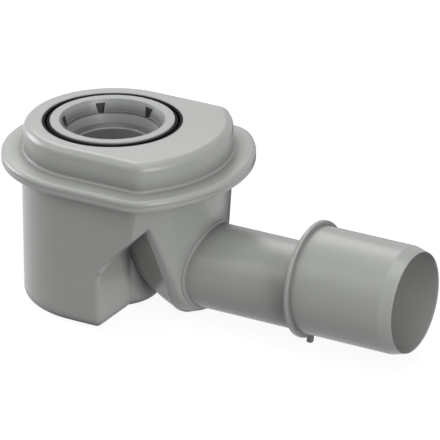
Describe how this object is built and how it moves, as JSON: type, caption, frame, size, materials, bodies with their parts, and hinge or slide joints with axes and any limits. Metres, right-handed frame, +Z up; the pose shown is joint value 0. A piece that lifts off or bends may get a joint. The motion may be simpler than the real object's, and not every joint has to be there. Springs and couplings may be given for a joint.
{
  "type": "shower drain",
  "caption": "Shower drain trap with a flanged top, a sealed round inlet with a lift-out dip tube, and a side outlet pipe.",
  "frame": {"origin": "where the inlet axis meets the flat top of the cover", "axes": "+Z up along the inlet axis, +X the way the outlet pipe leaves, the part is mirrored about the X-Z plane apart from the small tab and the notches"},
  "size_m": [0.2086, 0.1028, 0.0871],
  "materials": {
    "housing": "moulded, satin, light grey",
    "insert": "moulded, satin, pale grey",
    "seal_rubber": "matte black"
  },
  "bodies": {
    "root": {"pot": "housing", "cover": "housing", "inlet_seal": "seal_rubber", "dip_tube": "insert", "dip_tube_seal": "seal_rubber"}
  },
  "joints": []
}
